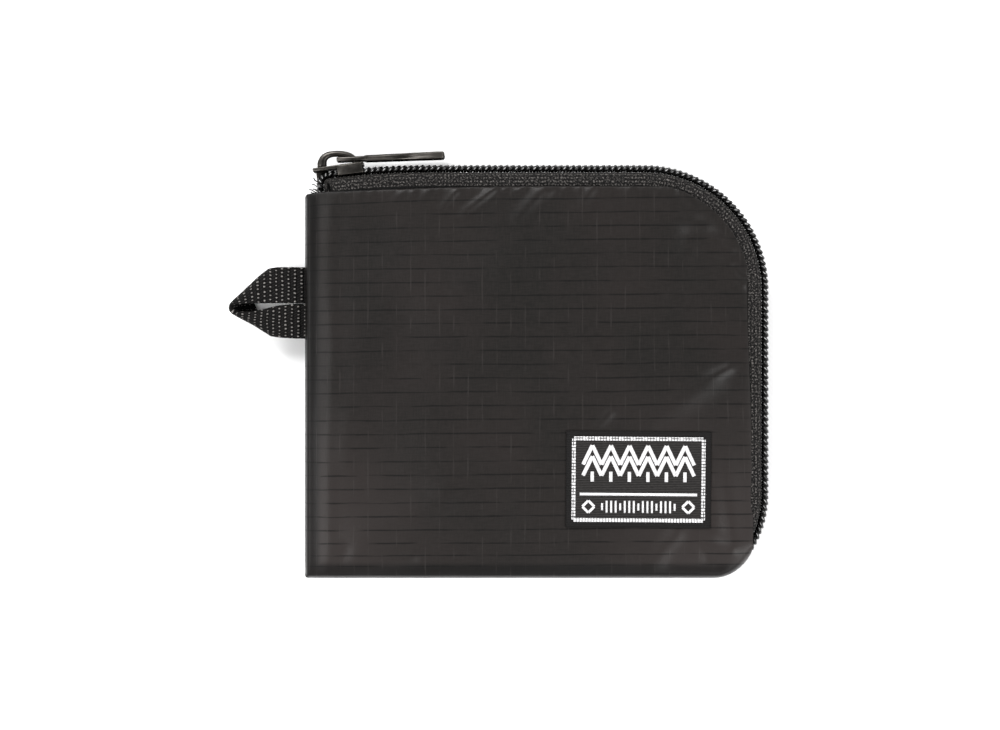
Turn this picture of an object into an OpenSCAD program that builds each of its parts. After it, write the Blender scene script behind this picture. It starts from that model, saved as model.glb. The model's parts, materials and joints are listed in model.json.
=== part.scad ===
// Zippered pouch: a soft flat pouch with a coil zip round its top and right side.
// X runs right, Y runs up to the zip and Z runs out of the front panel.
// The origin is the centre of the flat back face.

/* [Body] */
// Width, from the left seam to the outer edge of the zip
body_w = 115.5; // [100:0.5:150]
// Height, from the bottom seam to the outer edge of the zip
body_h = 102.8; // [90:0.5:140]
// Thickness through both panels
body_t = 10.6; // [10.2:0.2:16]
// Radius of the zip's big corner
corner_r = 31; // [20:1:40]
// Radius of the panels' lower right corner
lower_corner_r = 10; // [4:1:16]
// How far the panels slope in from the left and bottom seams
edge_slope = 4; // [2:0.5:8]
// Thickness of the shell cloth
shell_t = 0.4; // [0.2:0.1:0.6]
// Thickness of the lining cloth
lining_t = 0.4; // [0.2:0.1:0.6]
// Air between two layers of cloth
ply_gap = 0.1; // [0.05:0.05:0.2]

/* [Opening fold] */
// Height at which the front panel's fold meets the left side
fold_left_y = 94.2; // [80:0.2:95]
// Height at which the fold meets the right side
fold_right_y = 31; // [20:1:60]
// Width of the cut along the fold
fold_gap = 0.4; // [0.2:0.1:1]

/* [Zip] */
// Depth of the coil, from its outer edge to the tape
coil_depth = 2.2; // [1.6:0.1:3]
// Half of the gap between the two coils
coil_gap_half = 1.1; // [0.9:0.1:1.5]
// Height of each coil across the zip
coil_w = 1.9; // [1.4:0.1:2.2]
// Diameter of the filler cord in each coil
cord_d = 0.8; // [0.4:0.1:1]
// Thickness of the tape
tape_t = 0.5; // [0.3:0.1:0.8]
// How much tape shows beyond the panel's edge
tape_show = 3.3; // [2:0.1:6]
// How far the tape reaches in under the panel
tape_tuck = 6.5; // [4:0.5:10]
// Where the zip starts, from the left seam
zip_start = 4.6; // [3:0.1:8]
// Height at which the zip's lower end starts to bend in
tail_y = 21.5; // [16:0.5:30]
// Radius of that bend
tail_r = 27; // [20:1:35]
// Angle of that bend
tail_angle = 42; // [20:1:60]

/* [Slider] */
// Length of the slider
slider_l = 12.7; // [11:0.1:15]
// Width of the slider
slider_w = 8; // [7.6:0.1:8.2]
// Thickness of the top plate
plate_t = 0.9; // [0.7:0.1:1.2]
// Gap between the slider and what it runs on
run_gap = 0.15; // [0.1:0.05:0.3]
// Height of the bridge over the top plate
bridge_h = 3.2; // [3.1:0.1:4]
// Width of the bridge
bridge_w = 2.5; // [1.5:0.1:2.8]

/* [Pull tab] */
// Length of the tab, from its pin to its end
tab_l = 26.2; // [18:0.2:45]
// Width of the tab
tab_w = 5.5; // [5:0.1:8]
// Thickness of the tab
tab_t = 2; // [1.4:0.1:2.2]
// Diameter of the pin through the bridge
tab_pin_d = 1.6; // [1.2:0.1:1.6]
// Angle at which the tab rests over the zip
tab_rest = 2.4; // [2:0.1:8]

/* [Label] */
// Width of the label
label_w = 36; // [25:1:40]
// Height of the label
label_h = 24; // [15:1:28]
// Thickness of the label
label_t = 0.4; // [0.2:0.1:0.6]
// Left edge of the label, from the left seam
label_x = 65; // [40:1:70]
// Bottom edge of the label, from the bottom seam
label_y = 13; // [8:1:20]
// Length of one stitch on the label
stitch_l = 2.1; // [1:0.1:3]
// Distance from one stitch to the next
stitch_pitch = 3; // [2.2:0.1:5]

/* [Webbing loop] */
// Width of the webbing
web_w = 9.1; // [6:0.1:12]
// Thickness of the webbing
web_t = 1.2; // [0.8:0.1:1.6]
// How far the loop stands out of the seam
loop_l = 18.5; // [14:0.5:30]
// Height of the loop's middle on the left seam
loop_y = 68.9; // [40:0.5:75]

/* [Inside] */
// Height of the card pocket's mouth above the bottom seam
pocket_y = 60; // [40:1:75]
// Width of the binding on the pocket's mouth
binding_w = 3; // [2:0.5:5]
// Width of the binding on the seam
seam_w = 5; // [3:0.5:7]

/* [Hidden] */
$fn = 96;

mid = body_t / 2;               // height of the seam and of the zip's middle
over = 5;                       // how far a cutting shape passes the cloth
seam_land = 0.3;                // upright edge of the shell over the seam
slope_ratio = edge_slope / (mid - seam_land); // run of the slope for each millimetre of rise
slope_wall = shell_t * sqrt(1 + pow(slope_ratio, 2)); // the shell's level width on a slope
// How far the shell's face has sloped in at a height above the middle
function slope_at(z) = slope_ratio * (z - seam_land);

// Heights of the layers above and below the middle
shell_in = mid - shell_t;
tape_out = shell_in - ply_gap;
tape_in = tape_out - tape_t;
lining_out = tape_in - ply_gap;
lining_in = lining_out - lining_t;
pocket_out = lining_in - ply_gap;
pocket_in = pocket_out - lining_t;
coil_out = coil_gap_half + coil_w;

// Insets from the zip's outer edge
panel_in = coil_depth + tape_show;
tape_end = panel_in + tape_tuck;
lining_edge = 1.2;              // how far the lining stops short of the panel
lining_side = edge_slope + 0.8; // where the lining starts inside the sloped edges

// The fold of the front panel
fold_run = [body_w - zip_start, fold_right_y - fold_left_y];
fold_len = norm(fold_run);
fold_out = [-fold_run[1], fold_run[0]] / fold_len; // points from the fold to the zip

// The slider
slider_x = 2;
plate_y = body_h + 0.1;             // underside of the top plate
plate_top = plate_y + plate_t;
wing_t = 0.7;
wing_x = 6;                         // where the side wings start on the slider
wing_y = body_h - coil_depth + run_gap;
base_top = body_h - coil_depth - tape_t - run_gap;
base_t = 1;
wedge_x = 1;
wedge_l = 3.5;
wedge_half = coil_gap_half - 0.2;
bridge_x = 1;                       // where the bridge starts on the slider
bridge_l = 9.3;
bridge_bar = 1.2;                   // thickness of the bridge's bar
bridge_foot = 2.2;                  // length of the bridge's front foot
pin_x = slider_x + 6.7;
pin_y = plate_top + 1;
eye_l = 6;                          // from the pin to the end of the tab's eye
eye_half = bridge_w / 2 + 0.25;     // half width of the eye
arm_t = 1.6;                        // thickness of the eye's arms

// The coils' cords, and the coils' ends turned down under the slider
coil_mid = coil_gap_half + coil_w / 2; // height of the cord above the middle
cord_near = coil_depth / 2 - cord_d / 2;
cord_room = 0.1;                       // gap between the cord and the coil round it
coil_end_x = slope_wall + slope_at(coil_out) + 0.2;
coil_end_l = 3;
coil_end_y = base_top - base_t - 0.3 - coil_end_l;

// The webbing loop, as two edges swept from the seam to the tip
loop_start = 0.8;
loop_rings = 12;                    // rings from the seam to the tip
loop_lift = 3.6;                    // rise of the outer edge and drop of the inner edge
loop_eye = 6;                       // how far the inner edge stops short of the tip
function mix(a, b, t) = a + (b - a) * t;
function ease(t) = t * t * (3 - 2 * t);
function arc(a, b, c, t) = mix(mix(a, b, t), mix(b, c, t), t);
function outer_edge(side, t) =
    let (p = arc([-loop_start, side * web_w], [-0.6 * loop_l, side * web_w * 1.05],
                 [-loop_l + web_t / 2, 0], t))
    [p[0], loop_y + p[1], mid + loop_lift * ease(t)];
function inner_edge(side, t) =
    let (p = arc([-loop_start, 0.1 * side], [-0.4 * loop_l, side * 1.1],
                 [-loop_l + loop_eye, side * 0.3 * (1 - t)], t))
    [p[0], loop_y - 0.8 * ease(t) + p[1], mid - loop_lift * ease(t)];
function loop_side(i) = i <= loop_rings ? 1 : -1;
function loop_t(i) = i <= loop_rings ? i / loop_rings : 2 - i / loop_rings;
function outer_at(i) = outer_edge(loop_side(i), loop_t(i));
function inner_at(i) = inner_edge(loop_side(i), loop_t(i));
function unit(v) = v / norm(v);
function face_dir(i) =
    let (a = max(i - 1, 0), b = min(i + 1, 2 * loop_rings))
    unit(cross(inner_at(i) - outer_at(i),
               outer_at(b) + inner_at(b) - outer_at(a) - inner_at(a)));
function loop_ring(i) =
    let (n = face_dir(i) * web_t / 2)
    [outer_at(i) - n, inner_at(i) - n, inner_at(i) + n, outer_at(i) + n];

module place() {
    translate([-body_w / 2, -body_h / 2, 0]) children();
}

// Turns a front piece into its twin on the back
module back_side() {
    translate([0, 0, body_t]) mirror([0, 0, 1]) children();
}

module slab(low, high) {
    translate([0, 0, low]) linear_extrude(high - low) children();
}

// A square corner's waste outside a round corner, in the corner's own quadrant
module corner_waste(r) {
    difference() {
        square(r + over);
        circle(r);
    }
}

// Outline of a sheet that stops edge_in short of the zip's outer edge
module sheet_2d(side_in, edge_in) {
    r = corner_r - edge_in;
    difference() {
        translate([side_in, side_in])
            square([body_w - edge_in - side_in, body_h - edge_in - side_in]);
        translate([body_w - corner_r, body_h - corner_r]) corner_waste(r);
        translate([body_w - edge_in - lower_corner_r, side_in + lower_corner_r])
            mirror([0, 1]) corner_waste(lower_corner_r);
    }
}

// A band that follows the zip's outer edge, from inset near to inset far
module zip_band_2d(near, far) {
    translate([zip_start, body_h - far])
        square([body_w - corner_r - zip_start, far - near]);
    translate([body_w - corner_r, body_h - corner_r]) intersection() {
        ring_2d(corner_r - near, corner_r - far);
        square(corner_r);
    }
    translate([body_w - far, tail_y]) square([far - near, body_h - corner_r - tail_y]);
    translate([body_w - tail_r, tail_y]) intersection() {
        ring_2d(tail_r - near, tail_r - far);
        polygon([[0, 0], [2 * tail_r, 0], [2 * tail_r, -2 * tail_r * tan(tail_angle)]]);
    }
}

module ring_2d(outer_r, inner_r) {
    difference() {
        circle(outer_r);
        circle(inner_r);
    }
}

// The part of the front that lifts with the zip, grown by g
module flap_area_2d(g) {
    a = [zip_start - g, fold_left_y] - fold_out * g;
    b = [zip_start + fold_run[0], fold_right_y] - fold_out * g;
    polygon([a, b + [over * 2, 0] + fold_run / fold_len * over, [body_w + 3 * over, body_h + over],
             [a[0], body_h + over]]);
}

// Side view of what the slope leaves off outside the left or the bottom seam
module slope_waste_2d() {
    polygon([[slope_at(-over), -over], [slope_at(mid + over), mid + over], [-3 * over, mid + over]]);
}

// Side view of the room inside the slope, open towards the zip and the other panel
module slope_room_2d(depth) {
    top = mid - shell_t;
    polygon([[slope_wall + slope_at(-over), -over], [slope_wall + slope_at(top), top],
             [depth + over, top], [depth + over, -over]]);
}

// Stands a side view up at the left seam, drawn out along the height
module along_left() {
    translate([0, body_h + over, mid]) rotate([90, 0, 0]) linear_extrude(body_h + 3 * over)
        children();
}

// Stands a side view up at the bottom seam, drawn out along the width
module along_bottom() {
    translate([-over, 0, mid]) rotate([90, 0, 90]) linear_extrude(body_w + 3 * over) children();
}

// The whole front shell: a flat face with sloped left and bottom edges
module front_shell() {
    difference() {
        slab(mid, body_t) sheet_2d(0, panel_in);
        along_left() slope_waste_2d();
        along_bottom() slope_waste_2d();
        intersection() {
            along_left() slope_room_2d(body_w);
            along_bottom() slope_room_2d(body_h);
        }
    }
}

module flap_cut(g) {
    slab(-over, body_t + over) flap_area_2d(g);
}

module lining_sheet() {
    slab(mid + lining_in, mid + lining_out) sheet_2d(lining_side, panel_in + lining_edge);
}

// One half of the zip's tape: the wall that carries the coil, and the strip sewn to the panel
module tape_half() {
    slab(mid + coil_gap_half, mid + tape_out) zip_band_2d(coil_depth, coil_depth + tape_t);
    slab(mid + tape_in, mid + tape_out) zip_band_2d(coil_depth, tape_end);
}

// One half of the coil, with the room for its cord, and its end turned down under the slider
module coil_half() {
    half = cord_d / 2 + cord_room;
    difference() {
        slab(mid + coil_gap_half, mid + coil_out) zip_band_2d(0, coil_depth);
        slab(mid + coil_mid - half, mid + coil_mid + half)
            zip_band_2d(cord_near - cord_room, cord_near + cord_d + cord_room);
    }
    translate([coil_end_x, coil_end_y, mid + coil_gap_half])
        cube([coil_depth, coil_end_l, coil_w]);
}

module cord_half() {
    slab(mid + coil_mid - cord_d / 2, mid + coil_mid + cord_d / 2)
        zip_band_2d(cord_near, cord_near + cord_d);
}

module back_panel() {
    color("#302e2d") place() back_side() front_shell();
}

module front_panel() {
    color("#322f2e") place() difference() {
        front_shell();
        flap_cut(fold_gap / 2);
    }
}

module front_flap() {
    color("#2f2d2c") place() intersection() {
        front_shell();
        flap_cut(-fold_gap / 2);
    }
}

module back_lining() {
    color("#4a4a4c") place() back_side() lining_sheet();
}

module front_lining() {
    color("#4a4a4c") place() difference() {
        lining_sheet();
        flap_cut(fold_gap / 2);
    }
}

module flap_lining() {
    color("#525254") place() intersection() {
        lining_sheet();
        flap_cut(-fold_gap / 2);
    }
}

module card_pocket() {
    color("#3c3c3e") place() back_side() slab(mid + pocket_in, mid + pocket_out) intersection() {
        sheet_2d(lining_side + 0.6, panel_in + lining_edge + 0.6);
        square([body_w, pocket_y]);
    }
}

// A folded tape over the pocket's mouth
module card_pocket_binding() {
    right = body_w - panel_in - lining_edge - 0.6;
    left = lining_side + 0.6;
    color("#262626") place() back_side()
        translate([left, pocket_y + ply_gap / 2, mid + pocket_in - lining_t])
        cube([right - left, binding_w, 2 * lining_t]);
}

// The strip round the raw edges of the left and bottom seams
module seam_binding() {
    half = 0.5;
    from = slope_wall + slope_ratio * half + 0.2;
    color("#262626") place() slab(mid - half, mid + half) {
        translate([from, from]) square([seam_w, coil_end_y - from - 1]);
        translate([from, from]) square([body_w - tail_r - from, seam_w]);
    }
}

module zip_tape_front() {
    color("#363432") place() tape_half();
}

module zip_tape_back() {
    color("#363432") place() back_side() tape_half();
}

module zip_coil_front() {
    color("#3c3a39") place() coil_half();
}

module zip_coil_back() {
    color("#3c3a39") place() back_side() coil_half();
}

module zip_cord_front() {
    color("#2a2a2a") place() cord_half();
}

module zip_cord_back() {
    color("#2a2a2a") place() back_side() cord_half();
}

module woven_label() {
    color("#262524") place() translate([label_x, label_y, body_t]) cube([label_w, label_h, label_t]);
}

// A running stitch round the label, one block for each stitch
module label_stitching() {
    inset = 1.6;
    thread = 0.4;
    run_x = label_w - 2 * inset;
    run_y = label_h - 2 * inset;
    count_x = floor(run_x / stitch_pitch);
    count_y = floor(run_y / stitch_pitch);
    color("#1c1b1b") place() translate([label_x + inset, label_y + inset, body_t + label_t]) {
        for (side = [0, 1], i = [0 : count_x - 1])
            translate([(i + 0.5) * run_x / count_x - stitch_l / 2, side * run_y - thread / 2, 0])
            cube([stitch_l, thread, thread / 2]);
        for (side = [0, 1], i = [0 : count_y - 1])
            translate([side * run_x - thread / 2, (i + 0.5) * run_y / count_y - stitch_l / 2, 0])
            cube([thread, stitch_l, thread / 2]);
    }
}

// Two plates with a wedge between the coils at the nose, and side wings behind
module slider_body() {
    wing_l = slider_l - wing_x;
    color("#3e3c3a") place() translate([slider_x, 0, mid]) {
        translate([0, plate_y, -slider_w / 2]) cube([slider_l, plate_t, slider_w]);
        translate([0, base_top - base_t, -slider_w / 2]) cube([slider_l, base_t, slider_w]);
        translate([wedge_x, base_top, -wedge_half])
            cube([wedge_l, plate_y - base_top, 2 * wedge_half]);
        for (side = [0, 1]) mirror([0, 0, side])
            translate([wing_x, wing_y, slider_w / 2 - wing_t])
            cube([wing_l, plate_y - wing_y, wing_t]);
    }
}

// The arched bail that the tab's pin passes through
module slider_bridge() {
    r = 1.5;
    hole = bridge_h - bridge_bar;
    color("#4e4b48") place() translate([slider_x + bridge_x, plate_top, mid - bridge_w / 2])
        linear_extrude(bridge_w) difference() {
            square([bridge_l, bridge_h]);
            translate([bridge_foot, 0])
                square([bridge_l - bridge_foot - bridge_bar, hole]);
            for (side = [0, 1]) translate([side * bridge_l, 0]) mirror([side, 0])
                translate([r, bridge_h - r]) mirror([1, 0]) corner_waste(r);
        }
}

// The puller: a pin, two arms round the bridge, and a flat bar with a round end
module pull_tab() {
    color("#54524f") place() translate([pin_x, pin_y, mid]) rotate([0, 0, tab_rest]) {
        translate([0, 0, -tab_w / 2]) cylinder(h = tab_w, d = tab_pin_d);
        for (side = [0, 1]) mirror([0, 0, side]) {
            translate([0, -arm_t / 2, eye_half]) cube([eye_l, arm_t, tab_w / 2 - eye_half]);
            translate([0, 0, eye_half]) cylinder(h = tab_w / 2 - eye_half, d = arm_t);
        }
        translate([eye_l, -tab_t / 2, -tab_w / 2]) cube([tab_l - eye_l - tab_t / 2, tab_t, tab_w]);
        translate([tab_l - tab_t / 2, 0, -tab_w / 2]) cylinder(h = tab_w, d = tab_t);
    }
}

// A band that leaves the seam flat, tips up as it turns back, and lies flat again
module webbing_loop() {
    last = 2 * loop_rings;
    points = [for (i = [0 : last]) each loop_ring(i)];
    sides = [for (i = [0 : last - 1], k = [0 : 3])
        [4 * i + k, 4 * i + (k + 1) % 4, 4 * i + 4 + (k + 1) % 4, 4 * i + 4 + k]];
    ends = [[3, 2, 1, 0], [for (k = [0 : 3]) 4 * last + k]];
    color("#2b2928") place() polyhedron(points, concat(ends, sides));
}

back_panel();
front_panel();
front_flap();
back_lining();
front_lining();
flap_lining();
card_pocket();
card_pocket_binding();
seam_binding();
zip_tape_front();
zip_tape_back();
zip_coil_front();
zip_coil_back();
zip_cord_front();
zip_cord_back();
woven_label();
label_stitching();
slider_body();
slider_bridge();
pull_tab();
webbing_loop();
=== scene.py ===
import json
import math
import random

import bmesh
import bpy
from mathutils import Matrix, Vector, noise


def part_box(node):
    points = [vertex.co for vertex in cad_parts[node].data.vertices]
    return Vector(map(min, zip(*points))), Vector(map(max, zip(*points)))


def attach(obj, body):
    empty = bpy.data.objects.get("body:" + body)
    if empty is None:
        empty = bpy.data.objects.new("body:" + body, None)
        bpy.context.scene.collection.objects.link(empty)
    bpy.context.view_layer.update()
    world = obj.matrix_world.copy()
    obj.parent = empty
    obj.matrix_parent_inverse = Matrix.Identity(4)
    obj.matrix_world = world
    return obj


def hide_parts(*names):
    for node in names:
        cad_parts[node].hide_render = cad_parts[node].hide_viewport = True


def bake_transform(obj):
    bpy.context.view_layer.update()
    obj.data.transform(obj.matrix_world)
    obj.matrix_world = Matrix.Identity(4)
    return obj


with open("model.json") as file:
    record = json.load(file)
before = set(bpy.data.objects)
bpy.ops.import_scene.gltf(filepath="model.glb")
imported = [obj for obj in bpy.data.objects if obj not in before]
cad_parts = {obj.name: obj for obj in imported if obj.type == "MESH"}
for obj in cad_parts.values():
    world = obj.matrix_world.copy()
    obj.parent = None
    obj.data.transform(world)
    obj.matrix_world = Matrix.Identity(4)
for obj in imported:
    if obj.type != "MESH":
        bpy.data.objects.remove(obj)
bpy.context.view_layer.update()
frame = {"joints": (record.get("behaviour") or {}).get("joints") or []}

# The pouch is drawn in millimetres from its lower left seam corner, with z up from its back face.
# row() turns such a place into the frame's metres.
MM = 0.001
back_low, back_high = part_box("back_panel")
coil_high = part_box("zip_coil_back")[1]
LEFT, BOTTOM = back_low.x, back_low.y
WIDTH = (coil_high.x - LEFT) / MM + 0.3
HEIGHT = (coil_high.y - BOTTOM) / MM + 0.4
MIDDLE = back_high.z / MM
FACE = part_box("front_panel")[1].z / MM


def row(x, y, z):
    return Vector((LEFT + x * MM, BOTTOM + y * MM, z * MM))


def joint(name):
    return next(j for j in frame["joints"] if j["name"] == name)


def ease(t):
    """A soft rise from 0 to 1."""
    t = min(max(t, 0.0), 1.0)
    return t * t * (3 - 2 * t)


def mix(a, b, t):
    return a + (b - a) * t


# ------------ finishes


def tone(red, green, blue):
    """A colour seen on a screen, 0 to 255 a channel, as the light that it stands for."""
    return tuple(
        (c / 255 / 12.92) if c <= 10 else ((c / 255 + 0.055) / 1.055) ** 2.4
        for c in (red, green, blue)
    )


class Value:
    """A number or colour that varies over a surface. Arithmetic on it adds Math nodes."""

    def __init__(self, finish, socket):
        self.finish = finish
        self.socket = socket

    def math(self, operation, *others):
        return self.finish.node("ShaderNodeMath", {"operation": operation}, self, *others)

    def __add__(self, other):
        return self.math("ADD", other)

    def __sub__(self, other):
        return self.math("SUBTRACT", other)

    def __mul__(self, other):
        return self.math("MULTIPLY", other)

    def __truediv__(self, other):
        return self.math("DIVIDE", other)

    def __rsub__(self, other):
        return self.math("MULTIPLY_ADD", -1.0, other)

    __radd__ = __add__
    __rmul__ = __mul__

    def sine(self):
        return self.math("SINE")

    def size(self):
        return self.math("ABSOLUTE")

    def larger(self, other):
        return self.math("MAXIMUM", other)

    def smaller(self, other):
        return self.math("MINIMUM", other)

    def part(self):
        """What is left over a whole number."""
        return self.math("FRACT")

    def whole(self):
        return self.math("FLOOR")

    def wave(self, pitch, shift=0.0):
        """From 0 to 1 and back once a pitch, moved along by a shift in radians."""
        return (self * (2 * math.pi / pitch) + shift).sine() * 0.5 + 0.5

    def step(self, low, high):
        """0 up to low and 1 from high, with a smooth rise between."""
        settings = {"interpolation_type": "SMOOTHSTEP"}
        return self.finish.node("ShaderNodeMapRange", settings, self, low, high)

    def line(self, pitch, width, soft=0.5):
        """1 on lines one pitch apart and 0 between them."""
        away = ((self / pitch).part() - 0.5).size() * pitch
        return 1 - away.step(width / 2, width / 2 + width * soft)


class Finish:
    """One material: its shader, and one way to add any other node."""

    def __init__(self, name, colour, **constants):
        self.material = bpy.data.materials.new(name)
        self.material.use_nodes = True
        self.tree = self.material.node_tree
        self.shader = self.tree.nodes["Principled BSDF"]
        self.shader.inputs["Base Color"].default_value = (*colour, 1)
        for socket, value in constants.items():
            self.shader.inputs[socket.replace("_", " ")].default_value = value

    def node(self, kind, settings=None, *inputs, out=0, **named):
        made = self.tree.nodes.new(kind)
        for setting, value in (settings or {}).items():
            setattr(made, setting, value)
        for key, value in [*enumerate(inputs), *named.items()]:
            key = key.replace("_", " ") if isinstance(key, str) else key
            if isinstance(value, Value):
                self.tree.links.new(value.socket, made.inputs[key])
            else:
                made.inputs[key].default_value = value
        return Value(self, made.outputs[out])

    def cloth(self):
        """Where a point is on the piece's own cloth, in millimetres along and across."""
        place = self.node("ShaderNodeUVMap", {"uv_map": "cloth"})
        along = self.node("ShaderNodeSeparateXYZ", None, place)
        across = Value(self, along.socket.node.outputs[1])
        return place, along, across

    def solid(self):
        """Where a point is on the pouch, in metres."""
        return self.node("ShaderNodeTexCoord", None, out="Object")

    def stretched(self, place, x, y, z=1.0):
        return self.node("ShaderNodeVectorMath", {"operation": "MULTIPLY"}, place, (x, y, z))

    def speckle(self, place, scale, detail=2.0, rough=0.5):
        return self.node("ShaderNodeTexNoise", None, Vector=place, Scale=scale, Detail=detail,
                         Roughness=rough)

    def blend(self, factor, low, high):
        """A colour between two, each a fixed colour or the result of another blend."""
        made = self.tree.nodes.new("ShaderNodeMix")
        made.data_type = "RGBA"
        for key, value in ((0, factor), (6, low), (7, high)):
            if isinstance(value, Value):
                self.tree.links.new(value.socket, made.inputs[key])
            else:
                made.inputs[key].default_value = (*value, 1) if key else value
        return Value(self, made.outputs[2])

    def drive(self, socket, value):
        self.tree.links.new(value.socket, self.shader.inputs[socket])

    def bump(self, height, depth, strength=1.0):
        """Shades the surface as if it rose by height times depth, which is in metres."""
        self.drive("Normal", self.node("ShaderNodeBump", None, Strength=strength, Distance=depth,
                                       Height=height))


WEFT_PITCH = 3.42    # from one thick weft thread of the ripstop to the next
WARP_PITCH = 3.55    # and from one thick warp thread to the next
KNIT_EDGE = 8.0      # how far across the tape, from the coil, the painted shadow under the panel's edge starts
CROWN_LOW = 2.95     # height above the pouch's middle from which the coil's crowns carry a painted highlight
RIB_PITCH = 1.5      # from one rib of the webbing to the next


def ripstop():
    """Thin nylon with a grid of thicker threads, paler low down with a painted sheen, and dark along
    its seams with painted shade.
    """
    f = Finish("ripstop", tone(20, 18, 17), Roughness=0.42, Specular_IOR_Level=0.13)
    place, along, across = f.cloth()
    wander = (f.speckle(place, 0.03, 1.0) - 0.5) * 0.7 + (f.speckle(place, 0.4, 2.0) - 0.5) * 0.12
    broken = f.speckle(f.stretched(place, 0.11, 1.7), 1.0, 2.0).step(0.36, 0.56)
    broken_up = f.speckle(f.stretched(place, 1.9, 0.13), 1.0, 2.0).step(0.48, 0.66)
    weft = (across + wander - along * 0.008).line(WEFT_PITCH, 0.26) * broken
    warp = (along + wander * 0.4).line(WARP_PITCH, 0.2) * broken_up
    threads = f.speckle(f.stretched(place, 0.35, 3.4), 1.0, 3.0, 0.6)
    threads_up = f.speckle(f.stretched(place, 3.4, 0.35), 1.0, 3.0, 0.6)
    worn = f.speckle(place, 0.045, 3.0).step(0.3, 0.72)
    cloth = f.blend(worn, tone(22, 21, 20), tone(28, 25, 24))
    weave = (threads + threads_up - 1.0) * 2.2 + 0.5
    cloth = f.blend(weave.step(0.1, 0.9) * 0.4, cloth, tone(34, 31, 30))
    # painted sheen: paler low down, most towards the lower left and lower right
    low = 1 - across.step(8, 58)
    sides = (along - 52).size().step(14, 46)
    cloth = f.blend(low * (sides * 0.75 + 0.15), cloth, tone(40, 36, 35))
    # painted shade on the steep edges along the left and bottom seams
    seam_shade = 1 - along.smaller(across).step(1.4, 3.8)
    cloth = f.blend(seam_shade * 0.7, cloth, tone(6, 6, 6))
    cloth = f.blend(weft * 0.78, cloth, tone(3, 3, 3))
    cloth = f.blend(warp * 0.4, cloth, tone(46, 43, 42))
    f.drive("Base Color", cloth)
    f.drive("Roughness", 0.34 + weft * 0.07 + threads * 0.1)
    f.bump(warp * 0.35 - weft * 0.15 + weave * 0.2, 0.00004, 0.7)
    return f.material


def zip_knit():
    """Knitted polyester: small stitches, with painted highlights where some of their loops catch the
    light and painted shade deep between them.
    """
    f = Finish("zip_knit", tone(24, 23, 22), Roughness=0.75, Specular_IOR_Level=0.12)
    place, along, across = f.cloth()
    drift = f.speckle(place, 0.9, 2.0) * 5.0
    wales = across.wave(0.9, drift)
    courses = along.wave(0.8, wales * 2.4 + drift * 2.0)
    grain = f.speckle(place, 2.0, 3.0, 0.75)
    stitches = wales * courses * 0.14 + grain
    # painted highlights on the loops and painted shade in the gaps between them
    lit = stitches.step(0.52, 0.78)
    deep = 1 - stitches.step(0.38, 0.56)
    knit = f.blend(lit, tone(12, 11, 11), tone(94, 91, 88))
    knit = f.blend(deep, knit, tone(3, 3, 3))
    # painted shadow on the tape where the panel's edge overhangs it
    panel_shadow = (across + grain * 1.6).step(KNIT_EDGE, KNIT_EDGE + 0.3)
    f.drive("Base Color", f.blend(panel_shadow, knit, tone(5, 5, 5)))
    f.bump(stitches, 0.0003)
    return f.material


def coil_nylon():
    """Smooth black nylon, as a zip's coil is wound from, with painted highlights on its crowns."""
    f = Finish("coil_nylon", tone(12, 12, 12), Roughness=0.3, Coat_Weight=0.3, Coat_Roughness=0.05,
               Coat_IOR=1.45, Specular_IOR_Level=0.2)
    scuffs = f.speckle(f.solid(), 2600, 2.0)
    f.drive("Roughness", 0.3 + scuffs * 0.14)
    nylon = f.blend(scuffs.step(0.4, 0.8), tone(9, 9, 9), tone(16, 15, 15))
    height = f.node("ShaderNodeAttribute", {"attribute_name": "height"}, out="Fac")
    # painted highlight on each turn's crown, pale from CROWN_LOW up
    crown_highlight = height.step(CROWN_LOW, CROWN_LOW + 0.1)
    f.drive("Base Color", f.blend(crown_highlight, nylon, tone(232, 232, 232)))
    return f.material


def cord_yarn():
    """Twisted yarn, for the coil's filler cord and the zip's loose ends."""
    f = Finish("cord_yarn", tone(34, 33, 32), Roughness=0.85)
    twist = f.speckle(f.solid(), 3200, 2.0)
    f.drive("Base Color", f.blend(twist, tone(14, 13, 13), tone(38, 36, 35)))
    f.bump(twist, 0.0001)
    return f.material


def gunmetal():
    """Dark satin lacquer over cast zinc, rubbed a little at random."""
    f = Finish("gunmetal", tone(68, 66, 63), Metallic=1.0, Roughness=0.3,
               Specular_Tint=(0.12, 0.12, 0.12, 1))
    place = f.solid()
    rubbed = f.speckle(place, 420, 3.0, 0.6)
    fine = f.speckle(place, 3600, 2.0)
    f.drive("Base Color", f.blend(rubbed.step(0.35, 0.75), tone(60, 58, 55), tone(80, 77, 74)))
    f.drive("Roughness", 0.22 + rubbed * 0.1 + fine * 0.08)
    f.bump(fine * 0.4 + rubbed * 0.6, 0.00002)
    return f.material


def webbing_weave():
    """Ribbed webbing: dark ribs across it, with painted highlights on dots where the warp threads
    cross over.
    """
    f = Finish("webbing_weave", tone(20, 19, 18), Roughness=0.75, Specular_IOR_Level=0.12)
    place, along, across = f.cloth()
    drift = (f.speckle(place, 0.35, 2.0) - 0.5) * 1.1
    ribs = along / RIB_PITCH + drift * 0.25
    crest = 1 - (ribs.part() - 0.5).size().step(0.08, 0.34)
    dot = (across + ribs.whole() * 0.37 + drift).wave(0.98)
    twill = (across * 1.6 + along * 1.1 + drift).wave(1.05)
    grain = f.speckle(place, 1.8, 2.0, 0.6)
    patchy = f.speckle(place, 0.5, 1.0)
    # painted highlights on the rib crests where the warp threads cross over
    lit = (crest * dot * 0.8 + patchy * 0.6 + grain * 0.3).step(0.94, 1.24)
    cloth = f.blend((twill * 0.55 + grain * 0.6).step(0.55, 1.0), tone(2, 2, 2), tone(25, 23, 22))
    f.drive("Base Color", f.blend(lit, cloth, tone(118, 115, 112)))
    f.bump(dot * crest + crest * 0.8 + twill * 0.3 + grain * 0.4, 0.0004)
    return f.material


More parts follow.
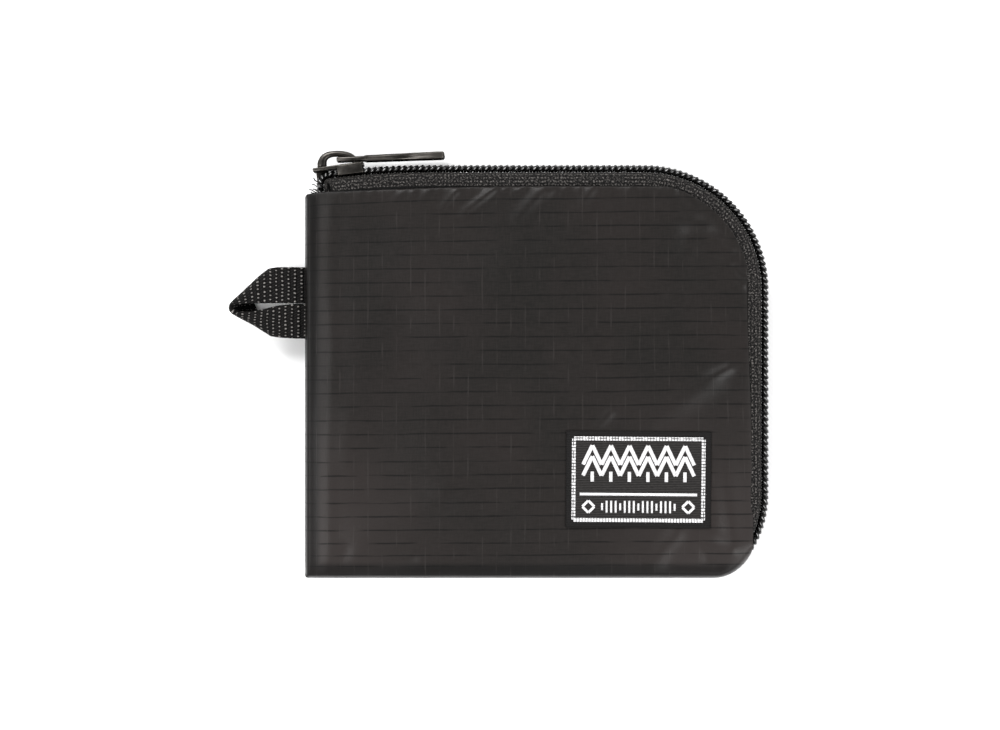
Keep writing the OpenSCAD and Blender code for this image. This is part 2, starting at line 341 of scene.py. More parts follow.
def plain_weave(name, dark, light, pitch=0.5):
    """A plain woven cloth with threads one pitch apart."""
    f = Finish(name, dark, Roughness=0.75, Specular_IOR_Level=0.3)
    place, along, across = f.cloth()
    turn = 2 * math.pi / pitch
    over = (along * turn).sine() * (across * turn).sine()
    grain = f.speckle(place, 1.6, 3.0)
    f.drive("Base Color", f.blend((over * 0.3 + grain).step(0.25, 0.85), dark, light))
    f.bump(over * 0.5 + grain * 0.5, 0.0001)
    return f.material


def label_ground():
    """Dense black damask with fine cross threads, and a darker hem outside its woven frame."""
    f = Finish("label_ground", tone(20, 19, 19), Roughness=0.7, Specular_IOR_Level=0.12)
    place, along, across = f.cloth()
    ribs = across.wave(0.42)
    grain = f.speckle(f.stretched(place, 1.2, 3.5), 1.0, 3.0, 0.6)
    hem = (along - LABEL_W / 2).size().step(15.6, 16.6)
    hem = hem.larger((across - LABEL_H / 2).size().step(9.6, 10.6))
    ground = f.blend((ribs * 0.4 + grain * 0.6).step(0.3, 0.75), tone(14, 13, 13), tone(46, 44, 43))
    f.drive("Base Color", f.blend(hem * 0.8, ground, tone(10, 9, 9)))
    f.bump(ribs * 0.6 + grain * 0.5, 0.00009)
    return f.material


def white_thread():
    """White rayon threads, packed side by side."""
    f = Finish("white_thread", tone(214, 213, 212), Roughness=0.6, Sheen_Weight=0.1)
    place, _, across = f.cloth()
    strand = across.wave(0.3)
    grain = f.speckle(place, 2.6, 2.0, 0.6)
    bright = (strand * 0.5 + grain * 0.6).step(0.2, 0.7)
    f.drive("Base Color", f.blend(bright, tone(158, 157, 158), tone(226, 225, 226)))
    f.bump(strand * 0.6 + grain * 0.5, 0.00012)
    return f.material


def black_thread():
    """Twisted black sewing thread."""
    f = Finish("black_thread", tone(26, 25, 25), Roughness=0.6)
    twist = f.speckle(f.solid(), 4200, 2.0)
    f.drive("Base Color", f.blend(twist.step(0.4, 0.7), tone(10, 10, 10), tone(40, 39, 38)))
    f.bump(twist, 0.00008)
    return f.material


def floor_paint():
    return Finish("floor_paint", (0.9, 0.9, 0.9), Roughness=0.9, Specular_IOR_Level=0.0).material


# ------------ making pieces


def join_body(name, mesh, material, slot, *replaced, body="pouch", across=None):
    """Makes a mesh a piece and hangs it from its body: across is (body, start, end), the span where
    it meets another body; when it is given, the piece's placing is baked into its mesh first.
    """
    mesh.materials.append(material)
    for polygon in mesh.polygons:
        polygon.use_smooth = True
    piece = bpy.data.objects.new(name, mesh)
    bpy.context.scene.collection.objects.link(piece)
    if across:
        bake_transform(piece)
    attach(piece, body)
    if replaced:
        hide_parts(*replaced)
    return piece


def finish_piece(name, bm, material, slot, *replaced, **bodies):
    """Makes a piece of what is drawn in millimetres, at its real size and place."""
    bmesh.ops.scale(bm, vec=(MM, MM, MM), verts=bm.verts)
    bmesh.ops.translate(bm, vec=(LEFT, BOTTOM, 0), verts=bm.verts)
    mesh = bpy.data.meshes.new(name)
    bm.to_mesh(mesh)
    bm.free()
    return join_body(name, mesh, material, slot, *replaced, **bodies)


def patch(columns, rows, place, cloth):
    """A grid of cloth: place(u, v) puts each corner of its squares, and cloth(u, v) is where that
    point is on the flat cloth, in millimetres. Both run from 0 to 1."""
    bm = bmesh.new()
    bmesh.ops.create_grid(bm, x_segments=columns, y_segments=rows, size=0.5)
    lay_cloth(bm, lambda p: cloth(p.x + 0.5, p.y + 0.5))
    for v in bm.verts:
        v.co = Vector(place(v.co.x + 0.5, v.co.y + 0.5))
    return bm


def lay_cloth(bm, where):
    """Gives each corner its place on the flat cloth, in millimetres."""
    layer = bm.loops.layers.uv.new("cloth")
    for face in bm.faces:
        for loop in face.loops:
            loop[layer].uv = where(loop.vert.co)


def thicken(piece, thickness, levels, offset=-1):
    """Rounds a piece, and gives a sheet its thickness, in millimetres."""
    if levels:
        rounder = piece.modifiers.new("rounder", "SUBSURF")
        rounder.levels = rounder.render_levels = levels
    if thickness:
        wall = piece.modifiers.new("wall", "SOLIDIFY")
        wall.thickness = thickness * MM
        wall.offset = offset
        wall.use_even_offset = False
    return piece


def soften(bm, width, segments, edges=None):
    """Rounds the edges given, or all of them."""
    bmesh.ops.bevel(bm, geom=edges or bm.edges[:], offset=width, segments=segments, profile=0.5,
                    affect="EDGES", material=-1, offset_type="OFFSET", clamp_overlap=True)


def corners_of(faces):
    return list({v for face in faces for v in face.verts})


def cut(bm, point, toward):
    """Cuts off all of a flat sheet that lies beyond a line."""
    bmesh.ops.bisect_plane(bm, geom=bm.verts[:] + bm.edges[:] + bm.faces[:], dist=1e-4,
                           plane_co=(*point, 0), plane_no=(*toward, 0), clear_outer=True)


def block(bm, size, centre):
    """Adds a box and returns its corners."""
    made = bmesh.ops.create_cube(bm, size=1)["verts"]
    bmesh.ops.scale(bm, vec=size, verts=made)
    bmesh.ops.translate(bm, vec=centre, verts=made)
    return made


# ------------ the zip's course

CORNER_R = 31.0      # the big corner, at the zip's outer edge
TAIL_R = 27.0        # the bend at the zip's lower end
TAIL_Y = 21.0        # where that bend starts
TAIL_TURN = math.radians(47)
ZIP_X = 6.3          # where the tape starts
TURN_R = 3.4         # the bend down at the zip's first turn
ZIP_SAG = 1.45       # how far the zip dips at its start
TOP_RUN = WIDTH - CORNER_R - ZIP_X
CORNER_RUN = CORNER_R * math.pi / 2
SIDE_RUN = HEIGHT - CORNER_R - TAIL_Y
ZIP_RUN = TOP_RUN + CORNER_RUN + SIDE_RUN + TAIL_R * TAIL_TURN
TURN_RUN = TURN_R * math.pi / 2
LEAD_RUN = TURN_RUN + 4.2
TAIL_SINK = 1.5      # how far the zip's lower end tucks in behind the panel


def on_arc(centre_x, centre_y, radius, angle):
    """A place on an arc, with the angle taken clockwise from straight up."""
    return centre_x + radius * math.sin(angle), centre_y + radius * math.cos(angle)


def zip_place(along, inset):
    """The place a distance along the zip, and inset in from its outer edge."""
    if along < 0:
        top = HEIGHT - ZIP_SAG - TURN_R
        if -along < TURN_RUN:
            return on_arc(ZIP_X, top, TURN_R - inset, along / TURN_R)
        return ZIP_X - TURN_R + inset, top + along + TURN_RUN
    if along < TOP_RUN:
        sag = ZIP_SAG * max(0, 1 - along / 26) ** 2
        return ZIP_X + along, HEIGHT - sag - inset
    along -= TOP_RUN
    if along < CORNER_RUN:
        return on_arc(WIDTH - CORNER_R, HEIGHT - CORNER_R, CORNER_R - inset, along / CORNER_R)
    along -= CORNER_RUN
    if along < SIDE_RUN:
        return WIDTH - inset, HEIGHT - CORNER_R - along
    turned = (along - SIDE_RUN) / TAIL_R
    inset += TAIL_SINK * ease((turned / TAIL_TURN - 0.74) / 0.25)
    return on_arc(WIDTH - TAIL_R, TAIL_Y, TAIL_R - inset, math.pi / 2 + turned)


def facing(z, front):
    """Height above the back face of a point z above the middle, on the front or the back half."""
    return MIDDLE + (z if front else -z)


# Where the front half bends as it lifts: the hinge line, and the end of the bend towards the zip
FOLD_FROM = Vector(joint("flap_open")["pos_m"])
FOLD_OUT = Vector((0, 0, 1)).cross(Vector(joint("flap_open")["axis"])).normalized()
FOLD_REACH = 0.028
FLAP = ("flap", FOLD_FROM - FOLD_OUT * 0.002, FOLD_FROM + FOLD_OUT * FOLD_REACH)

# ------------ the shell

PANEL_W = 110.2        # the front's width at its middle, before it widens lower down
PANEL_H = 97.6         # its height under the zip
PANEL_R = 26.6         # its big corner
BEND_X, BEND_Y = 84.2, 71.6      # the middle of that corner's bend
LOWER_R = 9.0          # its lower right corner
SEAM_R = 1.3           # its corners on the left seam
WIDEN = 1.4            # how much wider the lower right is
CLOTH_THICK = 0.22
LEFT_SHELF = 0.84      # how high the left seam's shelf is, as a share of the panel's rise
LOW_SHELF = 0.86       # the same for the bottom seam
LINING_Z = MIDDLE + 3.9
BACK_LINING_Z = 2 * MIDDLE - LINING_Z

SEAM_TOP = 92.0        # the upper end of the binding on the inner seam
SEAM_TURN = 7.0        # that binding's bend at the lower left corner
POCKET_LOW, POCKET_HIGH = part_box("card_pocket_binding")
POCKET_LEFT = (POCKET_LOW.x - LEFT) / MM
POCKET_WIDE = (POCKET_HIGH.x - POCKET_LOW.x) / MM
POCKET_TOP = (POCKET_LOW.y + POCKET_HIGH.y - 2 * BOTTOM) / MM / 2
POCKET_CUT = 60.0      # where the pocket's own cloth ends, inside its binding

# Folds in the front: both ends, width, and height, each end in millimetres on the panel
FOLDS = [
    ((39.6, 91.2), (47.6, 97.2), 0.75, 0.93),
    ((34.4, 92.6), (38.2, 97.0), 0.6, 0.75),
    ((52.8, 89.4), (59.4, 97.0), 1.5, 0.75),
    ((28.9, 94.4), (31.6, 97.2), 0.5, 0.54),
    ((22.4, 94.6), (24.8, 97.0), 0.4, 0.45),
    ((25.6, 95.0), (27.4, 97.0), 0.4, 0.42),
    ((48.2, 94.8), (50.2, 97.2), 0.45, 0.57),
    ((50.6, 94.8), (54.8, 97.6), 0.5, 0.63),
    ((60.0, 94.4), (61.8, 97.4), 0.6, 0.51),
    ((64.0, 95.0), (64.8, 97.4), 0.5, 0.42),
    ((69.0, 93.2), (71.8, 97.4), 1.2, 0.63),
    ((74.6, 94.6), (75.4, 97.4), 0.6, 0.39),
    ((80.0, 95.0), (81.0, 97.4), 0.6, 0.33),
    ((98.4, 93.2), (93.2, 96.4), 0.7, 0.6),
    ((91.0, 89.9), (100.0, 88.0), 2.0, -0.6),
    ((90.4, 92.0), (97.0, 91.0), 1.6, 0.2),
    ((94.8, 76.6), (95.6, 84.8), 2.6, 0.5),
    ((103.2, 86.0), (106.8, 82.0), 0.7, 0.42),
    ((100.6, 87.6), (104.4, 84.4), 0.6, 0.32),
    ((104.2, 80.0), (109.4, 75.0), 0.7, -0.8),
    ((105.4, 77.0), (109.4, 73.4), 0.9, 0.5),
    ((101.4, 81.4), (106.0, 78.4), 0.8, 0.3),
    ((100.3, 50.0), (105.4, 52.6), 1.1, 0.65),
    ((84.0, 37.6), (101.6, 50.0), 3.0, 0.62),
    ((72.2, 37.4), (76.2, 41.6), 1.0, 0.45),
    ((104.2, 31.0), (105.6, 9.0), 2.5, 0.85),
    ((99.8, 36.0), (101.2, 12.0), 2.2, -0.3),
    ((86.8, 4.6), (92.4, 12.4), 2.4, 0.85),
    ((93.0, 10.4), (105.4, 6.8), 2.2, 0.8),
    ((91.0, 4.2), (102.0, 3.4), 1.6, -0.5),
    ((97.4, 9.0), (99.8, 5.4), 0.9, -0.4),
    ((13.0, 2.6), (27.0, 5.6), 1.4, 0.45),
    ((8.6, 2.6), (10.6, 7.6), 1.7, -0.35),
    ((13.0, 9.0), (34.0, 20.0), 5.0, 0.75),
    ((9.0, 22.0), (11.0, 40.0), 4.0, 0.4),
    ((20.0, 30.0), (24.0, 62.0), 7.0, -0.4),
    ((60.0, 60.0), (90.0, 66.0), 6.0, -0.35),
]


def swell(t):
    """The side view of a soft edge: upright at 0 and level at 1."""
    t = min(max(t, 0.0), 1.0)
    return (1 - (1 - t) ** 2.3) ** 0.55


def fold_height(x, y, folds):
    """How far the folds raise the front at a place: most at each one's far end."""
    height = 0.0
    for (ax, ay), (bx, by), width, rise in folds:
        run_x, run_y = bx - ax, by - ay
        length_2 = run_x * run_x + run_y * run_y
        share = ((x - ax) * run_x + (y - ay) * run_y) / length_2
        held = min(max(share, 0.0), 1.0)
        away_2 = (x - ax - held * run_x) ** 2 + (y - ay - held * run_y) ** 2
        if away_2 < 9 * width * width:
            height += rise * (0.35 + 0.65 * held) * math.exp(-away_2 / (width * width))
    return height


def seam_edge(away, shelf, middle, reach):
    """A pressed seam: a steep side, a narrow shelf, then a soft step up to the panel."""
    return shelf * swell(away / 0.9) + (1 - shelf) * ease((away - middle) / reach + 0.5)


def bottom_seam(x, y):
    """The seam along the bottom and round the lower corner, up to where the zip takes over."""
    if x > PANEL_W - LOWER_R and y < LOWER_R:
        away = LOWER_R - math.hypot(x - PANEL_W + LOWER_R, LOWER_R - y)
        return mix(seam_edge(away, LOW_SHELF, 2.4, 5.0), 1, ease((y - 2.5) / (LOWER_R - 2.5)))
    return seam_edge(y, LOW_SHELF, 2.4, 5.0)


def front_rise(x, y):
    """Height of the front above the middle, at a place on the uncut panel."""
    ridge_x = 4.9 - 0.6 * ease((70 - y) / 60) + 0.25 * math.sin(y / 7)
    left = seam_edge(x, LEFT_SHELF, ridge_x, 4.6)
    rise = (FACE - MIDDLE - 0.25) * left * bottom_seam(x, y)
    rise -= 0.12 * math.exp(-(((x - ridge_x - 4.2) / 2.4) ** 2)) * ease(y / 4)
    puff = 0.7 * math.sin(math.pi * min(max(x / PANEL_W, 0), 1)) ** 0.7 * math.sin(
        math.pi * min(max(y / PANEL_H, 0), 1)) ** 0.7
    slack = noise.noise(Vector((x / 30, y / 24, 3.1))) * 0.5
    slack += noise.noise(Vector((x / 11, y / 13, 8.7))) * 0.16
    slack += noise.noise(Vector((x / 4.2, y / 5.0, 1.7))) * 0.05
    return rise + (puff + slack) * ease(x / 7) * ease(y / 7)


def widened(x, y):
    """Where a place on the uncut panel goes once the panel is sewn to the zip."""
    wide = WIDEN * ease((72 - y) / 52) * max(0, x / PANEL_W) ** 8
    sag = 1.5 * max(0, 1 - x / 50) ** 1.3 + 0.6 * max(0, 1 - x / 6) ** 2
    sag *= max(0, y / PANEL_H) ** 8
    return x + wide, y - sag


def panel_grid(step, inset, seam_inset):
    """A flat panel cut to shape, inset from its zip edge and from its seams, with its cloth laid."""
    bm = bmesh.new()
    columns, rows = round(PANEL_W / step), round(PANEL_H / step)
    bmesh.ops.create_grid(bm, x_segments=columns, y_segments=rows, size=0.5)
    for v in bm.verts:
        x = (v.co.x + 0.5) * PANEL_W
        y = (v.co.y + 0.5) * PANEL_H
        v.co = (x * (1 - 0.5 * math.exp(-x / 2.5)), y * (1 - 0.5 * math.exp(-y / 2.5)), 0)
    high, wide = PANEL_H - inset, PANEL_W - inset
    cuts = [((seam_inset, 0), (-1, 0)), ((0, seam_inset), (0, -1)), ((wide, 0), (1, 0)),
            ((0, high), (0, 1))]
    bends = [
        (BEND_X, BEND_Y, PANEL_R - inset, 0, 90, 15),
        (PANEL_W - LOWER_R, LOWER_R, LOWER_R - inset, 90, 180, 10),
        (SEAM_R + seam_inset, SEAM_R + seam_inset, SEAM_R, 180, 270, 4),
        (SEAM_R + seam_inset, high - SEAM_R, SEAM_R, 270, 360, 4),
    ]
    for x, y, radius, start, end, steps in bends:
        for i in range(steps):
            angle = math.radians(start + (end - start) * (i + 0.5) / steps)
            toward = (math.sin(angle), math.cos(angle))
            cuts.append(((x + radius * toward[0], y + radius * toward[1]), toward))
    for point, toward in cuts:
        cut(bm, point, toward)
    lay_cloth(bm, lambda p: (p.x - 4 * math.exp(-p.x / 3), p.y - 4 * math.exp(-p.y / 3)))
    return bm


def zip_edge_drop(x, y):
    """How far the panel's folded edge rounds down to the tape."""
    to_top, to_side = PANEL_H - y, PANEL_W - x
    away = min(to_top, to_side) if y > 8 else to_top
    if x > BEND_X and y > BEND_Y:
        away = min(away, PANEL_R - math.hypot(x - BEND_X, y - BEND_Y))
    return 0.12 * max(0, 1 - away / 0.9) ** 2


def seam_gathers():
    """Small folds all along the top zip seam, leaning to the right."""
    chance = random.Random(11)
    folds = []
    x = 8.0
    while x < 92:
        lean = chance.uniform(0.6, 2.2)
        reach = chance.uniform(1.2, 3.2)
        folds.append(((x, PANEL_H - reach), (x + lean, PANEL_H), chance.uniform(0.3, 0.5),
                      chance.uniform(0.12, 0.34)))
        x += chance.uniform(1.6, 3.4)
    return folds


def front_shell(material):
    """The front, sewn to the zip and to the back, with its folds."""
    folds = FOLDS + seam_gathers()
    bm = panel_grid(0.9, 0, 0)
    for v in bm.verts:
        x, y = v.co.x, v.co.y
        z = MIDDLE + front_rise(x, y) - zip_edge_drop(x, y) + fold_height(x, y, folds)
        v.co = (*widened(x, y), z)
    piece = finish_piece("front_shell", bm, material, "ripstop", "front_panel", "front_flap",
                         across=FLAP)
    return thicken(piece, CLOTH_THICK, 1)


def back_shell(material):
    """The back, cut as the front is, and flat where the pouch lies on it."""
    bm = panel_grid(1.1, 0, 0)
    for v in bm.verts:
        x, y = v.co.x, v.co.y
        flat = seam_edge(x, LEFT_SHELF, 3.0, 5.0) * bottom_seam(x, y)
        v.co = (*widened(x, y), MIDDLE - (MIDDLE - 0.05) * flat)
    bmesh.ops.reverse_faces(bm, faces=bm.faces[:])
    piece = finish_piece("back_shell", bm, material, "ripstop", "back_panel")
    return thicken(piece, CLOTH_THICK, 1)


def inner_sheet(name, material, z, inset, seam_inset, *replaced, across=None, top=None):
    """A flat lining or pocket inside the pouch, a little wavy."""
    bm = panel_grid(2.5, inset, seam_inset)
    if top:
        cut(bm, (0, top), (0, 1))
    for v in bm.verts:
        ripple = noise.noise(Vector((v.co.x / 14, v.co.y / 12, z))) * 0.12
        v.co = (v.co.x, v.co.y, z + ripple)
    piece = finish_piece(name, bm, material, "lining", *replaced, across=across)
    return thicken(piece, 0.2, 1)


def pocket_binding(material):
    """A folded strip over the card pocket's upper edge."""
    section = [(-1.5, 0.34), (0.2, 0.38), (1.3, 0.34), (1.6, 0.0), (1.3, -0.34), (0.2, -0.38),
               (-1.5, -0.34)]

    def place(u, v):
        up, out = section[round(v * (len(section) - 1))]
        return POCKET_LEFT + u * POCKET_WIDE, POCKET_TOP + up, MIDDLE - 3.3 + out

    bm = patch(60, len(section) - 1, place, lambda u, v: (u * POCKET_WIDE, v * 7))
    piece = finish_piece("pocket_binding_strip", bm, material, "binding", "card_pocket_binding")
    return thicken(piece, 0.1, 1)


def seam_place(along, inset):
    """A place along the inner seam, from its top end down the left side and along the bottom."""
    down = SEAM_TOP - SEAM_TURN
    if along < down:
        return inset, SEAM_TOP - along
    along -= down
    if along < SEAM_TURN * math.pi / 2:
        return on_arc(SEAM_TURN, SEAM_TURN, SEAM_TURN - inset, -math.pi / 2 - along / SEAM_TURN)
    return SEAM_TURN + along - SEAM_TURN * math.pi / 2, inset


def inner_seam_binding(material):
    """The tape that binds the pouch's inner seam, down the left side and along the bottom."""
    run = SEAM_TOP - SEAM_TURN + SEAM_TURN * math.pi / 2 + 88

    def place(u, v):
        x, y = seam_place(u * run, 1.3 + v * 4.6)
        return x, y, MIDDLE + 0.2 + 0.12 * noise.noise(Vector((x / 9, y / 9, 4)))

    bm = patch(150, 6, place, lambda u, v: (u * run, v * 4.6))
    piece = finish_piece("inner_seam_tape", bm, material, "binding", "seam_binding")
    return thicken(piece, 0.6, 1)


# ------------ the zip

COIL_PITCH = 1.5
COIL_WIRE = 0.33     # half the thickness of the coil's nylon
COIL_DEPTH = 1.95    # from the coil's outer edge to the tape
COIL_LOW = -0.2      # how far the heads cross the middle
COIL_HIGH = 2.95     # the coil's outer side, above the middle
COIL_LEAN = 0.4      # how far each turn leans along the zip


def round_mesh(name, points, radius, sides, swells):
    """A round rod through some points, thicker by each one's swell where there are any."""
    curve = bpy.data.curves.new(name, "CURVE")
    curve.dimensions = "3D"
    curve.bevel_depth = radius * MM
    curve.bevel_resolution = sides
    curve.use_fill_caps = True
    spline = curve.splines.new("POLY")
    spline.points.add(len(points) - 1)
    for i, (point, place) in enumerate(zip(spline.points, points)):
        point.co = (*row(*place), 1)
        point.radius = swells[i] if swells else 1.0
    holder = bpy.data.objects.new(name, curve)
    mesh = bpy.data.meshes.new_from_object(holder)
    bpy.data.objects.remove(holder)
    bpy.data.curves.remove(curve)
    return mesh


def tube(name, points, radius, sides, material, slot, *replaced, across=None, swells=None):
    """A rod of nylon or yarn that is part of the zip."""
    mesh = round_mesh(name + "_mesh", points, radius, sides, swells)
    return join_body(name, mesh, material, slot, *replaced, across=across)


def coil(name, front, material, replaced):
    """One half of the zip's coil: a flattened helix that follows the zip's course."""
    half_depth = (COIL_DEPTH - 2 * COIL_WIRE) / 2
    half_height = (COIL_HIGH - COIL_LOW) / 2 - COIL_WIRE
    middle_z = (COIL_HIGH + COIL_LOW) / 2
    facets = 14     # points to a turn
    turns = (ZIP_RUN + LEAD_RUN - 2) / COIL_PITCH
    points, swells = [], []
    for i in range(int(turns * facets)):
        angle = 2 * math.pi * i / facets
        lean = COIL_LEAN * math.cos(angle)
        along = 1 - LEAD_RUN + COIL_PITCH * (i / facets + (0 if front else 0.5)) + lean
        inset = COIL_WIRE + half_depth * (1 - math.cos(angle))
        crown = -math.sin(angle)
        points.append((*zip_place(along, inset), facing(middle_z + half_height * crown, front)))
        swells.append(1 + 0.4 * max(0, crown) ** 6)
    piece = tube(name, points, COIL_WIRE, 1, material, "zip_coil", replaced,
                 across=FLAP if front else None, swells=swells)
    # each point's height above the middle, which places the painted highlights on the crowns
    height = piece.data.attributes.new("height", "FLOAT", "POINT")
    for vertex, value in zip(piece.data.vertices, height.data):
        value.value = abs(vertex.co.z / MM - MIDDLE)
    return piece


def cord(name, front, material, replaced):
    """The filler cord that lies inside a coil."""
    points = []
    steps = round((ZIP_RUN + TURN_RUN) / 1.2)
    for i in range(steps + 1):
        along = -TURN_RUN + (ZIP_RUN + TURN_RUN) * i / steps
        points.append((*zip_place(along, COIL_DEPTH / 2), facing(1.6, front)))
    return tube(name, points, 0.36, 2, material, "zip_cord", replaced,
                across=FLAP if front else None)


def loose_threads(material):
    """The cut end of the zip: a few stray filaments by the first turn."""
    strands = [
        [(3.4, 96.0, 3.4), (2.6, 96.3, 3.6), (1.9, 96.8, 3.7), (1.3, 96.9, 3.5)],
        [(3.4, 96.4, 3.0), (2.7, 96.9, 3.3), (2.2, 97.0, 3.2)],
        [(3.2, 97.6, 2.6), (2.6, 98.1, 2.9), (2.0, 98.2, 2.8)],
        [(3.3, 98.9, 2.2), (2.7, 99.2, 2.5), (2.3, 99.9, 2.4)],
        [(3.6, 95.6, 3.2), (2.9, 95.9, 3.7), (2.1, 96.0, 3.8), (1.7, 96.3, 3.9)],
    ]
    for i, strand in enumerate(strands):
        points = [(x, y, facing(z, True)) for x, y, z in strand]
        tube(f"loose_thread_{i + 1}", points, 0.14, 1, material, "zip_cord")


# The tape's cross section, from the coil over its rounded edge to under the panel:
# each point is how far in from the zip's edge it is, and how high above the middle
TAPE_SECTION = [(2.1, 0.2), (2.0, 1.6), (1.98, 2.8), (2.1, 3.6), (2.45, 4.25), (3.0, 4.6),
                (3.7, 4.74), (4.5, 4.76), (5.3, 4.7), (6.2, 4.56), (7.5, 4.4), (9.2, 4.2)]


def tape(name, front, material, replaced):
    """One half of the tape, from its folded edge at the coil to its edge under the panel."""
    lengths = [0.0]
    for (a, b), (c, d) in zip(TAPE_SECTION, TAPE_SECTION[1:]):
        lengths.append(lengths[-1] + math.hypot(c - a, d - b))
    lead = TURN_RUN + 2.0

    def along(u):
        return u * (ZIP_RUN + lead) - lead

    def place(u, v):
        inset, z = TAPE_SECTION[round(v * (len(TAPE_SECTION) - 1))]
        run = along(u)
        if run < 0:
            under = ease((-run - 0.6 * TURN_RUN) / 2.6)
            inset, z = min(inset, TURN_R - 0.05), min(z, mix(4.7, 3.3, under))
        return (*zip_place(run, inset), facing(z, front))

    def cloth(u, v):
        return along(u), lengths[round(v * (len(TAPE_SECTION) - 1))]

    bm = patch(200, len(TAPE_SECTION) - 1, place, cloth)
    if front:
        bmesh.ops.reverse_faces(bm, faces=bm.faces[:])
    piece = finish_piece(name, bm, material, "zip_tape", replaced, across=FLAP if front else None)
    return thicken(piece, 0.35, 1)


# ------------ the slider and its tab

SLIDER_LOW, SLIDER_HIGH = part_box("slider_body")
SLIDER_X = (SLIDER_LOW.x - LEFT) / MM
SLIDER_L = (SLIDER_HIGH.x - SLIDER_LOW.x) / MM
SLIDER_TOP = (SLIDER_HIGH.y - BOTTOM) / MM
SLIDER_HALF = (SLIDER_HIGH.z - SLIDER_LOW.z) / MM / 2
SLIDER_TILT = math.radians(7.6)
PIN = joint("tab_swing")["pos_m"]
PIN_X, PIN_Y = (PIN[0] - LEFT) / MM, (PIN[1] - BOTTOM) / MM


def tilt_slider(bm, verts):
    """Tips the slider nose down, as the zip runs under it, and moves it to its place."""
    turn = Matrix.Rotation(SLIDER_TILT, 4, "Z")
    bmesh.ops.transform(bm, matrix=turn, verts=verts)
    bmesh.ops.translate(bm, vec=(SLIDER_X + SLIDER_L / 2, SLIDER_TOP - 0.72, MIDDLE), verts=verts)


def slider_body(material):
    """Two plates and the wedge between them, with a wing on each side of the outer one."""
    half = SLIDER_L / 2
    bm = bmesh.new()
    top = block(bm, (SLIDER_L, 0.95, 2 * SLIDER_HALF - 0.4), (0, -0.48, 0))
    for v in top:
        if v.co.x < 0:
            v.co.z *= 0.86
    block(bm, (SLIDER_L - 4.2, 0.85, 2 * SLIDER_HALF - 1.2), (1.9, -4.35, 0))
    block(bm, (2.6, 3.2, 1.1), (-half + 1.9, -2.4, 0))
    for side in (-1, 1):
        wing = block(bm, (6.5, 2.6, 0.75), (half - 3.35, -1.4, side * (SLIDER_HALF - 0.35)))
        for v in wing:
            if v.co.x > 2 and v.co.y > -1:
                v.co.x -= 0.5
    soften(bm, 0.2, 3)
    tilt_slider(bm, bm.verts[:])
    return finish_piece("slider_body_cast", bm, material, "slider_metal", "slider_body",
                        body="slider")


def slider_bridge(material):
    """The arched bail: a thick foot at the nose, a thin bar over the tab, and a foot behind."""
    arch = [(-4.13, -0.3, 1.2, 1.0), (-4.05, 0.6, 1.2, 1.0), (-3.92, 1.4, 1.18, 0.98),
            (-3.5, 2.2, 1.08, 0.96), (-2.75, 2.85, 0.92, 0.95), (-1.45, 3.12, 0.8, 0.92),
            (0.05, 3.02, 0.78, 0.9), (1.5, 2.72, 0.8, 0.9), (2.9, 2.14, 0.88, 0.92),
            (3.9, 1.35, 0.84, 0.95), (4.35, 0.6, 0.8, 1.0), (4.45, -0.3, 0.8, 1.0)]
    bm = bmesh.new()
    rings = []
    for i, (x, y, thick, wide) in enumerate(arch):
        before, after = arch[max(i - 1, 0)], arch[min(i + 1, len(arch) - 1)]
        run = Vector((after[0] - before[0], after[1] - before[1], 0)).normalized()
        end = i in (0, len(arch) - 1)
        made = bmesh.ops.create_circle(bm, segments=12, radius=1.0, cap_ends=end)["verts"]
        side = Vector((-run.y, run.x, 0))
        for v in made:
            square = 1 / max(abs(v.co.x), abs(v.co.y)) ** 0.6
            v.co = Vector((x, y, 0)) + side * v.co.x * thick * square + Vector(
                (0, 0, v.co.y * wide * 1.05 * square))
        rings.append([e for e in bm.edges if e.verts[0] in made and e.verts[1] in made])
    for low, high in zip(rings, rings[1:]):
        bmesh.ops.bridge_loops(bm, edges=low + high)
    bmesh.ops.recalc_face_normals(bm, faces=bm.faces[:])
    tilt_slider(bm, bm.verts[:])
    piece = finish_piece("slider_bridge_cast", bm, material, "slider_metal", "slider_bridge",
                         body="slider")
    return thicken(piece, 0, 1)


def pull_tab(material):
    """The puller: a pin through the bridge, two arms, and a flat bar with raised rims."""
    box_low, box_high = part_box("pull_tab")
    width = (box_high.z - box_low.z) / MM
    length = 26.2
    arm = 7.0
    bm = bmesh.new()
    bar = block(bm, (length - arm + 1, 1.9, width), ((length + arm - 1) / 2, 0, 0))
    for v in bar:
        if v.co.x < arm:
            v.co.y *= 0.8
    soften(bm, 0.55, 3)
    for sign in (1, -1):
        faces = [f for f in bm.faces if f.normal.y * sign > 0.9 and f.calc_area() > 10]
        bmesh.ops.inset_region(bm, faces=faces, thickness=0.6)
        bmesh.ops.translate(bm, vec=(0, -sign * 0.3, 0), verts=corners_of(faces))
        faces = [f for f in bm.faces if f.normal.z * sign > 0.9 and f.calc_area() > 5]
        bmesh.ops.inset_region(bm, faces=faces, thickness=0.14)
        bmesh.ops.translate(bm, vec=(0, 0, -sign * 0.3), verts=corners_of(faces))
    for sign in (1, -1):
        centre = ((arm - 0.9) / 2 + 0.2, 0, sign * (width / 2 - 0.6))
        made = block(bm, (arm + 0.9, 1.15, 1.1), centre)
        soften(bm, 0.3, 2, list({e for v in made for e in v.link_edges}))
    bmesh.ops.create_cone(bm, segments=20, radius1=0.62, radius2=0.62, depth=width - 0.5,
                          cap_ends=True)
    bmesh.ops.rotate(bm, matrix=Matrix.Rotation(math.radians(2.4), 3, "Z"), verts=bm.verts[:])
    bmesh.ops.translate(bm, vec=(PIN_X, PIN_Y - 0.3, MIDDLE), verts=bm.verts[:])
    return finish_piece("pull_tab_cast", bm, material, "slider_metal", "pull_tab", body="pull_tab")


# ------------ the webbing loop

LOOP_Y = (joint("loop_swing")["pos_m"][1] - BOTTOM) / MM
WEB_W = 9.1
WEB_T = 1.15

